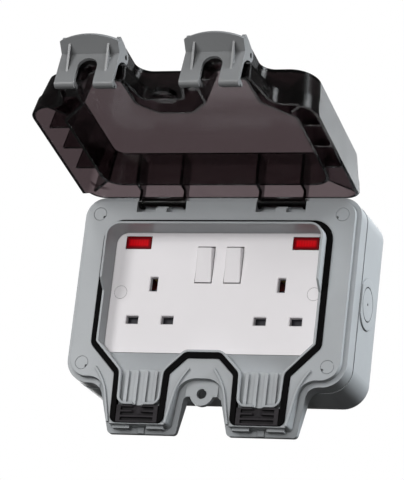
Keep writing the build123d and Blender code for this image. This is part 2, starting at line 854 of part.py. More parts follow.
wall_line = inset(seal_loop(lid_seal_wall_end, seal_end_r), -lid_seal_wall_outward)
lug_at = [
    turn * x
    for turn in SIDES.values()
    for x in (notch_inner + lug_side_gap + lug_thickness / 2, notch_outer - lug_side_gap - lug_thickness / 2)
]
with BuildPart() as lid_ribs:
    with BuildSketch(lid_front(lid_seal_wall_depth)):
        draw(inset(wall_line, -lid_seal_wall / 2))
    with BuildSketch(lid_front(lid_front_depth)):
        draw(inset(wall_line, lid_seal_wall_draft - lid_seal_wall / 2))
    loft(ruled=True)
    with BuildSketch(lid_front(lid_gusset_depth)):
        for turn in SIDES.values():
            middle = turn * (seal_half_width + body_half_width) / 2
            reach = body_half_width - seal_half_width + 2 * lid_wall
            with Locations(*[(middle, lid_gusset_middle + n * lid_gusset_pitch) for n in (-1, 0, 1)]):
                Rectangle(reach, lid_gusset)
            with Locations((turn * (seal_half_width + 4), seal_top + 2)):
                Rectangle(1.6 * reach, lid_gusset, rotation=turn * 45)
            with Locations((turn * (seal_half_width + 2), body_bottom + bottom_corner_r)):
                Rectangle(1.6 * reach, lid_gusset, rotation=-turn * 45)
        with Locations(*[(x, (seal_top + body_top) / 2) for x in lug_at]):
            Rectangle(lug_thickness, body_top - seal_top + 2 * lid_wall)
    extrude(amount=lid_front_depth - lid_gusset_depth)
    with BuildSketch(lid_front(lid_seal_wall_depth)):
        draw(inset(wall_line, lid_seal_wall / 2))
    with BuildSketch(lid_front(lid_front_depth)):
        draw(inset(wall_line, lid_seal_wall_draft + lid_seal_wall / 2))
    loft(ruled=True, mode=Mode.SUBTRACT)
    add(lid_outside.part, mode=Mode.INTERSECT)

with BuildPart() as lid:
    add(lid_outside.part)
    with BuildSketch(lid_front(lid_rim_depth)):
        draw(inset(skirt_loop(lid_rim_depth), lid_wall))
    with BuildSketch(lid_front(lid_inner_step)):
        draw(inset(skirt_loop(lid_inner_step), lid_wall))
    loft(ruled=True, mode=Mode.SUBTRACT)
    with BuildSketch(lid_front(lid_inner_step)):
        draw(inset(dome_loop(lid_inner_step), lid_wall))
    with BuildSketch(lid_front(lid_inner_front)):
        draw(inset(dome_loop(lid_inner_front), lid_wall))
    loft(ruled=True, mode=Mode.SUBTRACT)
    add(lid_ribs.part)
    # the rim draws back beside the hinge
    with BuildSketch(lid_side(0)):
        Polygon(
            (0, lid_hinge_rim_z),
            (lid_rim_depth, lid_hinge_rim_z),
            (lid_hinge_rim_depth, lid_hinge_rim_z + 1.6 * (lid_hinge_rim_depth - lid_rim_depth)),
            (lid_hinge_rim_depth, 2 * body_top),
            (0, 2 * body_top),
            align=None,
        )
    extrude(amount=2 * body_half_width, both=True, mode=Mode.SUBTRACT)
    # lugs and the two bars that the lid turns on
    for x in lug_at:
        with BuildSketch(lid_side(x)):
            with Locations((hinge_depth, hinge_z)):
                Circle(hinge_eye_r)
            Polygon(
                (hinge_depth, hinge_z - hinge_eye_r),
                (lid_gusset_depth, hinge_z - hinge_eye_r),
                (lid_gusset_depth, body_top - lid_wall),
                (hinge_depth, hinge_z + hinge_eye_r),
                align=None,
            )
        extrude(amount=lug_thickness / 2, both=True)
    for turn in SIDES.values():
        with BuildSketch(lid_side(turn * (notch_inner + notch_outer) / 2)):
            with Locations((hinge_depth, hinge_z)):
                Circle(hinge_bar_r)
        extrude(amount=(notch_outer - notch_inner) / 2 - lug_side_gap - lug_thickness / 2, both=True)
    # padlock tab at the saddle
    with BuildSketch(lid_front(tab_depth)):
        with Locations((0, padlock_z)):
            Circle(padlock_eye_r)
        with Locations((0, border_saddle_z - 2)):
            Rectangle(4 * padlock_eye_r, 2 * padlock_eye_r, align=(Align.CENTER, Align.MIN), mode=Mode.SUBTRACT)
    extrude(amount=tab_thickness)
    with BuildSketch(lid_front(tab_depth - 1)):
        with Locations((0, padlock_z)):
            Circle(tab_hole_r)
    extrude(amount=tab_thickness + 2, mode=Mode.SUBTRACT)
    # arches where the cords leave, and holes for the latch pins
    for turn in SIDES.values():
        with BuildSketch(turned(Plane.XY.offset(chute_end - 1), lid_swing)):
            with Locations((turn * chute_x, cord_arch_half - cord_arch_depth)):
                Circle(cord_arch_half)
                Rectangle(2 * cord_arch_half, lid_front_depth, align=(Align.CENTER, Align.MIN))
        extrude(amount=lid_seal_wall_end - chute_end + 2 * lid_wall, mode=Mode.SUBTRACT)
        with BuildSketch(lid_side(turn * chute_x)):
            with Locations((latch_pivot_depth, latch_pivot_z)):
                Circle(latch_pin_r + latch_pin_fit)
        extrude(amount=latch_half, both=True, mode=Mode.SUBTRACT)
write(lid, "lid")

# Latches on their pins
pull = Vector(0, -1, 0).rotate(Axis.X, latch_pull_angle)
for name, turn in SIDES.items():
    x = turn * chute_x
    with BuildPart() as latch_pin:
        with BuildSketch(lid_side(x)):
            with Locations((latch_pivot_depth, latch_pivot_z)):
                Circle(latch_pin_r)
        extrude(amount=latch_half - latch_pin_inset, both=True)
    write(latch_pin, f"latch_pin_{name}")

    ear_inside = lobe_half + latch_ear_gap
    arch_r = latch_half - latch_leg
    with BuildPart() as latch:
        latch_outer = latch_plate_z - latch_wall
        with BuildSketch(turned(side(x), latch_swing)):
            with BuildLine():
                FilletPolyline(
                    (latch_bend_depth, latch_plate_z),
                    (latch_hook_front, latch_plate_z),
                    (latch_hook_front, latch_hook_tip),
                    (latch_hook_back, latch_hook_tip),
                    (latch_hook_back, latch_plate_z + latch_toe_rise),
                    (latch_toe, latch_plate_z + latch_toe_rise),
                    (latch_toe, latch_outer),
                    (latch_bend_depth, latch_outer),
                    radius=[0.2, 0.6, 0.3, 0.3, 0.2, 0.5, latch_wall, 0.2],
                    close=True,
                )
            make_face()
        extrude(amount=latch_half, both=True)
        for ear in SIDES.values():
            with BuildSketch(turned(side(x + ear * (ear_inside + latch_half) / 2), latch_swing)):
                with Locations((latch_pivot_depth, latch_pivot_z)):
                    Circle(latch_ear_r)
                Polygon(
                    (latch_ear_foot, latch_plate_z - latch_wall / 2),
                    (latch_ear_foot, latch_plate_z),
                    latch_ear_step,
                    (latch_pivot_depth - latch_ear_r, latch_pivot_z),
                    (latch_pivot_depth + latch_ear_r, latch_pivot_z),
                    (latch_flap_depth, latch_pivot_z - 2 * latch_ear_r),
                    (latch_flap_depth, latch_flap_end),
                    (
                        latch_bend_depth - pull.Y * latch_pull_side * 0.6,
                        latch_outer + pull.Z * latch_pull_side * 0.6,
                    ),
                    (latch_bend_depth, latch_plate_z - latch_wall / 2),
                    align=None,
                )
            extrude(amount=(latch_half - ear_inside) / 2, both=True)
        with BuildSketch(turned(Plane.XY.offset(latch_plate_z - latch_wall - 1), latch_swing)):
            with Locations((x, 1.6 * latch_wall + arch_r - latch_bend_depth)):
                Circle(arch_r)
                Rectangle(2 * arch_r, latch_bend_depth, align=(Align.CENTER, Align.MIN))
        extrude(amount=latch_hook_tip - latch_plate_z + latch_wall + 2, mode=Mode.SUBTRACT)
        pull_plane = Plane(
            origin=(x, -latch_bend_depth, latch_plate_z - latch_wall / 2),
            x_dir=(1, 0, 0),
            z_dir=Vector(1, 0, 0).cross(pull),
        )
        with BuildSketch(turned(pull_plane, latch_swing)):
            with BuildLine():
                Polyline(
                    (latch_half, latch_pull_side), (latch_half, 0), (-latch_half, 0), (-latch_half, latch_pull_side)
                )
                ThreePointArc(
                    (-latch_half, latch_pull_side), (0, latch_pull_middle), (latch_half, latch_pull_side)
                )
            make_face()
        extrude(amount=latch_wall / 2, both=True)
        for rib in SIDES.values():
            with BuildSketch(turned(side(x + rib * (arch_r + latch_leg / 2)), latch_swing)):
                Polygon(
                    (latch_gusset_foot, latch_plate_z - latch_wall / 2),
                    (latch_bend_depth, latch_plate_z - latch_wall / 2),
                    (
                        latch_bend_depth - pull.Y * latch_pull_side,
                        latch_plate_z - latch_wall / 2 + pull.Z * latch_pull_side,
                    ),
                    align=None,
                )
            extrude(amount=latch_gusset / 2, both=True)
        with BuildSketch(turned(side(x), latch_swing)):
            with Locations((latch_pivot_depth, latch_pivot_z)):
                Circle(latch_pin_r + latch_pin_running)
        extrude(amount=latch_half + 1, both=True, mode=Mode.SUBTRACT)
    write(latch, f"latch_{name}")

# Socket module: front plate
outlets = [turn * outlet_x for turn in SIDES.values()]
poles_at = [(x + pole, pole_z) for x in outlets for pole in (-pole_x, pole_x)]
module_screws_at = [(-module_screw_x, 0), (module_screw_x, 0)]
neons_at = [(turn * neon_x, neon_z) for turn in SIDES.values()]
rockers_at = [(turn * rocker_x, rocker_z) for turn in SIDES.values()]
plate_back = plate_depth - plate_thickness
guide_x = shutter_size[0] / 2 + fit_gap + shutter_guide / 2
with BuildPart() as socket_plate:
    with BuildSketch(front(plate_back)):
        with Locations((0, (plate_top + plate_bottom) / 2)):
            RectangleRounded(2 * plate_half_width, plate_top - plate_bottom, plate_corner_r)
    extrude(amount=plate_thickness)
    with BuildSketch(front(plate_back)):
        with Locations(*[(x + ear * guide_x, pole_z) for x in outlets for ear in SIDES.values()]):
            Rectangle(shutter_guide, shutter_size[1] + 2 * shutter_travel)
    extrude(amount=-shutter_gap - shutter_thickness)
    with BuildSketch(front(plate_back)):
        with Locations(*[(x, earth_z) for x in outlets]):
            Rectangle(*earth_slot)
        with Locations(*poles_at):
            Rectangle(*pole_slot)
        with Locations(*neons_at):
            Rectangle(*neon_size)
        with Locations(*rockers_at):
            Rectangle(*rocker_opening)
        with Locations(*module_screws_at):
            Circle(module_screw_r + seat_gap)
    extrude(amount=plate_thickness, mode=Mode.SUBTRACT)
    with BuildSketch(front(plate_depth)):
        with Locations(*[(x, earth_z) for x in outlets]):
            Rectangle(earth_slot[0] + 2 * slot_chamfer, earth_slot[1] + 2 * slot_chamfer)
        with Locations(*poles_at):
            Rectangle(pole_slot[0] + 2 * slot_chamfer, pole_slot[1] + 2 * slot_chamfer)
    extrude(amount=-slot_chamfer, taper=45, mode=Mode.SUBTRACT)
    with BuildSketch(front(plate_depth)):
        with Locations(*module_screws_at):
            Circle(cover_r + seat_gap)
    extrude(amount=-cover_thickness - module_screw_head, mode=Mode.SUBTRACT)
    for x, z in rockers_at:
        with BuildSketch(side(x)):
            with Locations((rocker_pivot_depth, z)):
                Circle(rocker_trunnion_r + screw_play)
                Rectangle(plate_thickness, 2 * (rocker_trunnion_r + screw_play), align=(Align.MAX, Align.CENTER))
        extrude(amount=rocker_opening[0] / 2 + rocker_trunnion_length, both=True, mode=Mode.SUBTRACT)
write(socket_plate, "socket_plate")

# Its screws and their covers
module_screw_seat = plate_depth - cover_thickness - module_screw_head
with BuildPart() as module_screws:
    with BuildSketch(front(module_screw_seat)):
        with Locations(*module_screws_at):
            Circle(module_screw_head_r)
    extrude(amount=module_screw_head)
    with BuildSketch(front(module_screw_seat)):
        with Locations(*module_screws_at):
            Circle(module_screw_r)
    extrude(amount=module_screw_head + cover_thickness + 1 - module_screw_length)
write(module_screws, "module_screws")

with BuildPart() as module_screw_covers:
    with BuildSketch(front(plate_depth - cover_thickness)):
        with Locations(*module_screws_at):
            Circle(cover_r)
    extrude(amount=cover_thickness)
write(module_screw_covers, "module_screw_covers")

# Rockers, pressed at the bottom
for name, turn in SIDES.items():
    x = turn * rocker_x
    rocker_swing = about_x(rocker_pivot_depth, rocker_z, rocker_tilt)
    with BuildPart() as rocker:
        with BuildSketch(turned(side(x), rocker_swing)):
            with Locations((0, rocker_z)):
                Polygon(
                    (plate_depth + rocker_rise - rocker_ridge, rocker_half_length),
                    (plate_depth + rocker_rise, 0),
                    (plate_depth + rocker_rise - rocker_ridge, -rocker_half_length),
                    (plate_back, -rocker_half_length),
                    (plate_depth - rocker_back, rocker_back - rocker_half_length),
                    (plate_depth - rocker_back, rocker_half_length - rocker_back),
                    (plate_back, rocker_half_length),
                    align=None,
                )
        extrude(amount=rocker_opening[0] / 2 - rocker_gap, both=True)
        for flank in SIDES.values():
            with BuildSketch(Plane.XY.offset(rocker_z - 2 * rocker_half_length)):
                with Locations((x + flank * (rocker_opening[0] / 2 - rocker_gap), -plate_depth)):
                    Polygon((0, 0), (-flank * rocker_taper, -2 * rocker_rise), (flank, -2 * rocker_rise), align=None)
            extrude(amount=4 * rocker_half_length, mode=Mode.SUBTRACT)
        with BuildSketch(turned(side(x), rocker_swing)):
            with Locations((rocker_pivot_depth, rocker_z)):
                Circle(rocker_trunnion_r)
        extrude(amount=rocker_opening[0] / 2 + rocker_trunnion_length - rocker_gap, both=True)
    write(rocker, f"rocker_{name}")

# Indicator windows and the lamps behind them
for name, turn in SIDES.items():
    with BuildPart() as neon_lens:
        with BuildSketch(front(plate_back)):
            with Locations((turn * neon_x, neon_z)):
                Rectangle(neon_size[0] - 2 * seat_gap, neon_size[1] - 2 * seat_gap)
        extrude(amount=plate_thickness + neon_rise)
        with BuildSketch(front(plate_back)):
            with Locations((turn * (neon_x - neon_size[0] / 4), housing_half_height - housing_wall - fit_gap)):
                Rectangle(neon_size[0] / 2, neon_size[1], align=(Align.CENTER, Align.MAX))
        extrude(amount=-neon_frame)
    write(neon_lens, f"neon_lens_{name}")

    with BuildPart() as neon_lamp:
        with BuildSketch(side(turn * (neon_x - neon_size[0] / 4))):
            with Locations((plate_back - neon_frame - lamp_r, neon_z)):
                Circle(lamp_r)
        extrude(amount=lamp_length / 2, both=True)
    write(neon_lamp, f"neon_lamp_{name}")

# Rear housing, with posts under the contact strips, terminals and lamps
housing_floor = housing_back_depth + housing_wall
lamps_at = [(turn * (neon_x - neon_size[0] / 4), neon_z) for turn in SIDES.values()]
with BuildPart() as module_housing:
    with BuildSketch(front(housing_back_depth)):
        Rectangle(2 * housing_half_width, 2 * housing_half_height)
        with Locations(*module_screws_at):
            Circle(housing_screw_clear, mode=Mode.SUBTRACT)
    extrude(amount=plate_back - housing_back_depth)
    with BuildSketch(front(housing_floor)):
        Rectangle(2 * (housing_half_width - housing_wall), 2 * (housing_half_height - housing_wall))
        with Locations(*module_screws_at):
            Circle(housing_screw_clear + housing_wall, mode=Mode.SUBTRACT)
    extrude(amount=plate_back - housing_floor, mode=Mode.SUBTRACT)
    with BuildSketch(front(housing_floor)):
        with Locations((-outlet_x, earth_z), (0, earth_z), (outlet_x, earth_z)):
            Circle(post_r)
    extrude(amount=earth_strip_depth - housing_floor)
    with BuildSketch(front(housing_floor)):
        with Locations((-outlet_x - pole_x, neutral_strip_z), (0, neutral_strip_z), (outlet_x - pole_x, neutral_strip_z)):
            Circle(post_r)
        with Locations((-terminal_pitch, terminal_z)):
            Circle(post_r)
    extrude(amount=neutral_strip_depth - housing_floor)
    with BuildSketch(front(housing_floor)):
        with Locations((-outlet_x + pole_x, live_strip_z), (outlet_x + pole_x, live_strip_z)):
            Circle(post_r)
        with Locations((-rocker_x, live_strip_z), (rocker_x, live_strip_z)):
            Circle(post_r)
    extrude(amount=live_strip_depth - housing_floor)
    with BuildSketch(front(housing_floor)):
        with Locations((terminal_pitch, terminal_z)):
            Circle(post_r)
    extrude(amount=feed_strip_depth - housing_floor)
    with BuildSketch(front(housing_floor)):
        with Locations(*lamps_at):
            Circle(post_r)
    extrude(amount=plate_back - neon_frame - 2 * lamp_r - housing_floor)
write(module_housing, "module_housing")

# Shutters behind the pole slots, and their springs
shutter_front = plate_back - shutter_gap
housing_bottom = housing_wall - housing_half_height
shutter_bottom = pole_z - shutter_size[1] / 2
for name, turn in SIDES.items():
    x = turn * outlet_x
    with BuildPart() as shutter:
        with BuildSketch(front(shutter_front)):
            with Locations((x, pole_z)):
                Rectangle(*shutter_size)
            with Locations((x, pole_z)):
                Rectangle(shutter_tongue[0], shutter_tongue[1] - pole_z, align=(Align.CENTER, Align.MIN))
        extrude(amount=-shutter_thickness)
        with BuildSketch(front(shutter_front)):
            with Locations((x, shutter_bottom)):
                Rectangle(3 * spring_r, shutter_foot, align=(Align.CENTER, Align.MIN))
        extrude(amount=spring_depth - spring_r - shutter_front)
    write(shutter, f"shutter_{name}")

    with BuildPart() as shutter_spring:
        with BuildSketch(Plane.XY.offset(housing_bottom)):
            with Locations((x, -spring_depth)):
                Circle(spring_r)
                Circle(spring_bore, mode=Mode.SUBTRACT)
        extrude(amount=shutter_bottom - housing_bottom)
    write(shutter_spring, f"shutter_spring_{name}")


def clip_profile(back, opening):
    """A forked contact, seen from the side, open to the front."""
    Rectangle(contact_front_depth - back, opening + 2 * contact_wall, align=(Align.MIN, Align.CENTER))
    with Locations((contact_wall, 0)):
        Rectangle(contact_front_depth - back, opening, align=(Align.MIN, Align.CENTER), mode=Mode.SUBTRACT)


# Live contacts, each with a strip to its switch
for name, turn in SIDES.items():
    x = turn * outlet_x + pole_x
    switch_x = turn * rocker_x
    with BuildPart() as live_contact:
        with BuildSketch(side(x)):
            with Locations((live_strip_depth, pole_z)):
                clip_profile(live_strip_depth, pole_pin)
        extrude(amount=contact_width / 2, both=True)
        with BuildSketch(front(live_strip_depth)):
            with Locations((x, pole_z)):
                Rectangle(strip_width, live_strip_z + strip_width / 2 - pole_z, align=(Align.CENTER, Align.MIN))
            with Locations(((x + switch_x) / 2, live_strip_z)):
                Rectangle(abs(x - switch_x) + strip_width, strip_width)
        extrude(amount=contact_wall)
    write(live_contact, f"live_contact_{name}")

# Neutral contacts on one strip that runs to its terminal
with BuildPart() as neutral_bar:
    for x in outlets:
        with BuildSketch(side(x - pole_x)):
            with Locations((neutral_strip_depth, pole_z)):
                clip_profile(neutral_strip_depth, pole_pin)
        extrude(amount=contact_width / 2, both=True)
    with BuildSketch(front(neutral_strip_depth)):
        with Locations(*[(x - pole_x, pole_z) for x in outlets]):
            Rectangle(strip_width, pole_z - neutral_strip_z + strip_width / 2, align=(Align.CENTER, Align.MAX))
        with Locations((-pole_x, neutral_strip_z)):
            Rectangle(2 * outlet_x + strip_width, strip_width)
        with Locations((-terminal_pitch, neutral_strip_z)):
            Rectangle(strip_width, terminal_z - neutral_strip_z + strip_width, align=(Align.CENTER, Align.MIN))
    extrude(amount=contact_wall)
write(neutral_bar, "neutral_bar")

# Earth contacts on one strip that runs to its terminal
with BuildPart() as earth_bar:
    for x in outlets:
        with BuildSketch(side(x)):
            with Locations((earth_strip_depth, earth_z)):
                clip_profile(earth_strip_depth, earth_pin[1])
        extrude(amount=earth_pin[0] / 2, both=True)
    with BuildSketch(front(earth_strip_depth)):
        with Locations((0, earth_z)):
            Rectangle(2 * outlet_x, strip_width)
        with Locations((0, earth_z)):
            Rectangle(strip_width, terminal_z + strip_width / 2 - earth_z, align=(Align.CENTER, Align.MIN))
    extrude(amount=contact_wall)
write(earth_bar, "earth_bar")

# Terminals, standing on their strips, and the screws that grip the wires
terminal_seats = {
    "neutral": (-terminal_pitch, neutral_strip_depth + contact_wall),
    "earth": (0, earth_strip_depth + contact_wall),
    "live": (terminal_pitch, feed_strip_depth + contact_wall),
}
for name, (x, seat) in terminal_seats.items():
    with BuildPart() as terminal:
        if name == "live":
            with BuildSketch(front(feed_strip_depth)):
                with Locations(((terminal_pitch - rocker_x) / 2, terminal_z)):
                    Rectangle(terminal_pitch + rocker_x, strip_width)
            extrude(amount=contact_wall)
        with BuildSketch(front(seat)):
            with Locations((x, terminal_z)):
                Rectangle(terminal_size, terminal_size)
        extrude(amount=terminal_height)
        with BuildSketch(side(x)):
            with Locations((seat + terminal_height / 2 - 0.6, terminal_z)):
                Circle(terminal_bore_r)
        extrude(amount=terminal_size, both=True, mode=Mode.SUBTRACT)
        with BuildSketch(front(seat + terminal_height)):
            with Locations((x, terminal_z)):
                Circle(terminal_screw_r + screw_play)
        extrude(amount=-terminal_height / 2, mode=Mode.SUBTRACT)
    write(terminal, f"{name}_terminal")

with BuildPart() as terminal_screws:
    for x, seat in terminal_seats.values():
        with BuildSketch(front(seat + terminal_height)):
            with Locations((x, terminal_z)):
                Circle(terminal_screw_head_r)
        extrude(amount=1)
        with BuildSketch(front(seat + terminal_height)):
            with Locations((x, terminal_z)):
                Circle(terminal_screw_r)
        extrude(amount=-terminal_screw_reach)
write(terminal_screws, "terminal_screws")
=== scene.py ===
"""Looks of an outdoor weatherproof twin socket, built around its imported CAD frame."""

import json
import logging
import math
from dataclasses import dataclass, field
from enum import Enum
from typing import Callable, Dict, List, Tuple, Union

import bpy
from mathutils import Matrix, Vector


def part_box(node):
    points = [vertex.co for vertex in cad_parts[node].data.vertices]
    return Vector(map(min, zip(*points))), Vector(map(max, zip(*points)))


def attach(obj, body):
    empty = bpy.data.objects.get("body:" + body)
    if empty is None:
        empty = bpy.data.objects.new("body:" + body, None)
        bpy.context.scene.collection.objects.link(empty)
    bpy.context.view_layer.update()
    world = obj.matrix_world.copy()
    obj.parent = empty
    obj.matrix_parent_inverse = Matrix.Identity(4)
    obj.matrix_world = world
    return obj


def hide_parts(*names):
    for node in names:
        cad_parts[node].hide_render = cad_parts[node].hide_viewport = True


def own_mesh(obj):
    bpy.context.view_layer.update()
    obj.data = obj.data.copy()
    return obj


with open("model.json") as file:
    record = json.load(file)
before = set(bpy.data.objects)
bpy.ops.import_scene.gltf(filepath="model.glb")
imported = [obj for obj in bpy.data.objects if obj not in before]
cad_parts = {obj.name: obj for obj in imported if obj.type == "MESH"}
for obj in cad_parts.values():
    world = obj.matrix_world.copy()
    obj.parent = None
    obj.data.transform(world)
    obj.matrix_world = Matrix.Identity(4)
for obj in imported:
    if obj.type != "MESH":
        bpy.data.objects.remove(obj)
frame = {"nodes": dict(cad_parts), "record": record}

LOG = logging.getLogger("weatherproof_socket")
MM = 0.001
MERGE_DISTANCE = 0.001 * MM
FLAT_ANGLE = 0.5
FACING_FRONT = -0.9

Colour = Tuple[float, float, float]
Point = Tuple[float, float, float]
Span = Tuple[float, float]
Wire = bpy.types.NodeSocket
Material = bpy.types.Material
Piece = bpy.types.Object


class Side(Enum):
    """The two halves of the socket, as seen from the front."""

    LEFT = -1
    RIGHT = 1

    def named(self, stem: str) -> str:
        """Name of a node of this side."""
        return f"{stem}_{self.name.lower()}"


class Slot(Enum):
    """Material slots of the record."""

    GREY = "grey_plastic"
    WHITE = "white_plastic"
    SMOKE = "smoke_plastic"
    RUBBER = "black_rubber"
    RED = "red_lens"
    BRASS = "brass"
    STEEL = "plated_steel"
    GLASS = "lamp_glass"


class NodeSheet:
    """A material's node tree, with short calls to add and join its nodes."""

    noise_range: Span = (0.3, 0.7)
    openness_samples: int = 8
    rounding_samples: int = 6

    def __init__(self, name: str) -> None:
        """Start a material with one Principled shader.

        Args:
            name: Name of the material.
        """
        self.material = bpy.data.materials.new(name)
        self.material.use_nodes = True
        self.tree = self.material.node_tree
        self.shader = self.tree.nodes["Principled BSDF"]
        self.output = self.tree.nodes["Material Output"]
        self.place = self.tree.nodes.new("ShaderNodeTexCoord").outputs["Object"]

    def add(self, kind: str, **settings: object) -> bpy.types.Node:
        """Add a node.

        Args:
            kind: Type name of the node.
            settings: Properties to set on it.

        Returns:
            The new node.
        """
        node = self.tree.nodes.new(kind)
        for key, value in settings.items():
            setattr(node, key, value)
        return node

    def join(self, source: Wire, target: Wire) -> None:
        """Link an output to an input."""
        self.tree.links.new(source, target)

    def feed(self, socket: str, source: Wire) -> None:
        """Link an output to one of the shader's inputs."""
        self.join(source, self.shader.inputs[socket])

    def give(self, socket: str, value: object) -> None:
        """Set a constant on the shader."""
        self.shader.inputs[socket].default_value = value

    def noise(self, scale: float, detail: float = 2.0, roughness: float = 0.5) -> Wire:
        """Add a noise pattern that sits on the piece.

        Args:
            scale: Cells per metre.
            detail: Octaves of finer noise.
            roughness: Strength of those octaves.

        Returns:
            The noise's value.
        """
        node = self.add("ShaderNodeTexNoise")
        node.inputs["Scale"].default_value = scale
        node.inputs["Detail"].default_value = detail
        node.inputs["Roughness"].default_value = roughness
        self.join(self.place, node.inputs["Vector"])
        return node.outputs["Fac"]

    def spread(self, value: Wire, low: float, high: float, source: Span = noise_range) -> Wire:
        """Map a value onto a range.

        Args:
            value: The pattern to map.
            low: Result where the pattern is low.
            high: Result where the pattern is high.
            source: The pattern's own low and high values.

        Returns:
            The mapped value.
        """
        node = self.add("ShaderNodeMapRange")
        node.inputs["From Min"].default_value, node.inputs["From Max"].default_value = source
        node.inputs["To Min"].default_value = low
        node.inputs["To Max"].default_value = high
        self.join(value, node.inputs["Value"])
        return node.outputs["Result"]

    def calculate(self, operation: str, first: Wire, second: Union[Wire, float] = 0.0) -> Wire:
        """Reckon with one or two values.

        Args:
            operation: Name of the sum, as the Math node has it.
            first: The first value.
            second: The second value, where the sum has one.

        Returns:
            The result.
        """
        node = self.add("ShaderNodeMath", operation=operation)
        self.join(first, node.inputs[0])
        if isinstance(second, float):
            node.inputs[1].default_value = second
        else:
            self.join(second, node.inputs[1])
        return node.outputs["Value"]

    def blend(self, share: Wire, first: Colour, second: Colour) -> Wire:
        """Mix two colours by a pattern.

        Args:
            share: How much of the second colour shows.
            first: Colour where the share is nought.
            second: Colour where the share is one.

        Returns:
            The mixed colour.
        """
        node = self.add("ShaderNodeMix", data_type="RGBA")
        colours = [socket for socket in node.inputs if socket.type == "RGBA"]
        colours[0].default_value = (*first, 1.0)
        colours[1].default_value = (*second, 1.0)
        self.join(share, node.inputs["Factor"])
        return [socket for socket in node.outputs if socket.type == "RGBA"][0]

    def crevices(self, reach: float) -> Wire:
        """Find how open a point is: nought deep in a crevice, one on a free face.

        Args:
            reach: How far a neighbouring wall counts, in metres.

        Returns:
            The openness.
        """
        node = self.add("ShaderNodeAmbientOcclusion", samples=self.openness_samples)
        node.inputs["Distance"].default_value = reach
        return node.outputs["AO"]

    def scale(self, colour: Wire, share: Wire) -> Wire:
        """Multiply a colour by a value.

        Args:
            colour: The colour.
            share: The value.

        Returns:
            The darkened colour.
        """
        node = self.add("ShaderNodeVectorMath", operation="SCALE")
        self.join(colour, node.inputs[0])
        self.join(share, node.inputs["Scale"])
        return node.outputs["Vector"]

    def relief(self, height: Wire, depth: float, strength: float, edge: float) -> None:
        """Give the shader a bumped normal whose edges are softly rounded.

        Args:
            height: Pattern that lifts the surface.
            depth: Height of the pattern in metres.
            strength: How strongly it shows.
            edge: Radius of the rounding in metres.
        """
        rounding = self.add("ShaderNodeBevel", samples=self.rounding_samples)
        rounding.inputs["Radius"].default_value = edge
        bump = self.add("ShaderNodeBump")
        bump.inputs["Strength"].default_value = strength
        bump.inputs["Distance"].default_value = depth
        self.join(height, bump.inputs["Height"])
        self.join(rounding.outputs["Normal"], bump.inputs["Normal"])
        self.feed("Normal", bump.outputs["Normal"])


@dataclass(frozen=True)
class MouldedPlastic:
    """Opaque moulded plastic with a fine spark-eroded grain, and painted shade that darkens its
    crevices and corners.
    """

    name: str
    colour: Colour
    mottle: float = 0.035
    mottle_per_metre: float = 38.0
    gloss: Span = (0.34, 0.46)
    grain_per_metre: float = 2600.0
    grain_depth: float = 0.05 * MM
    grain_strength: float = 0.22
    edge: float = 0.5 * MM
    shine: float = 0.5
    # Painted shade: how much darker the colour is painted in crevices, how far a neighbouring wall
    # counts, and the openness over which it fades in.
    painted_shade: float = 0.5
    painted_shade_reach: float = 2.5 * MM
    painted_shade_from: Span = (0.15, 0.75)

    def material(self) -> Material:
        """Build the finish.

        Returns:
            The material.
        """
        sheet = NodeSheet(self.name)
        cloud = sheet.noise(self.mottle_per_metre, detail=4.0)
        pale = tuple(min(1.0, channel * (1.0 + self.mottle)) for channel in self.colour)
        deep = tuple(channel * (1.0 - self.mottle) for channel in self.colour)
        mottled = sheet.blend(sheet.spread(cloud, 0.0, 1.0), deep, pale)
        # Painted shade: the colour is darkened in crevices and corners, where walls crowd in.
        crevices = sheet.crevices(self.painted_shade_reach)
        openness = sheet.spread(crevices, 1.0 - self.painted_shade, 1.0, self.painted_shade_from)
        sheet.feed("Base Color", sheet.scale(mottled, openness))
        grain = sheet.noise(self.grain_per_metre, detail=3.0, roughness=0.6)
        sheet.feed("Roughness", sheet.spread(grain, *self.gloss))
        sheet.relief(grain, self.grain_depth, self.grain_strength, self.edge)
        sheet.give("Specular IOR Level", self.shine)
        return sheet.material


@dataclass(frozen=True)
class SmokyPlastic:
    """Tinted see-through plastic, glossy, dark where it is thick."""

    name: str
    tint: Colour
    density: float
    gloss: Span = (0.14, 0.20)
    cloudy: Colour = (0.93, 0.92, 0.92)
    clear: Colour = (1.0, 1.0, 1.0)
    cloud_per_metre: float = 55.0
    ripple_per_metre: float = 320.0
    ripple_depth: float = 0.03 * MM
    ripple_strength: float = 0.08
    edge: float = 0.5 * MM
    refraction: float = 1.5

    def material(self) -> Material:
        """Build the finish.

        Returns:
            The material.
        """
        sheet = NodeSheet(self.name)
        cloud = sheet.noise(self.cloud_per_metre, detail=5.0, roughness=0.6)
        sheet.feed("Base Color", sheet.blend(sheet.spread(cloud, 0.0, 1.0), self.cloudy, self.clear))
        sheet.feed("Roughness", sheet.spread(cloud, *self.gloss))
        ripple = sheet.noise(self.ripple_per_metre, detail=3.0)
        sheet.relief(ripple, self.ripple_depth, self.ripple_strength, self.edge)
        sheet.give("Transmission Weight", 1.0)
        sheet.give("IOR", self.refraction)
        smoke = sheet.add("ShaderNodeVolumeAbsorption")
        smoke.inputs["Color"].default_value = (*self.tint, 1.0)
        smoke.inputs["Density"].default_value = self.density
        sheet.join(smoke.outputs["Volume"], sheet.output.inputs["Volume"])
        return sheet.material


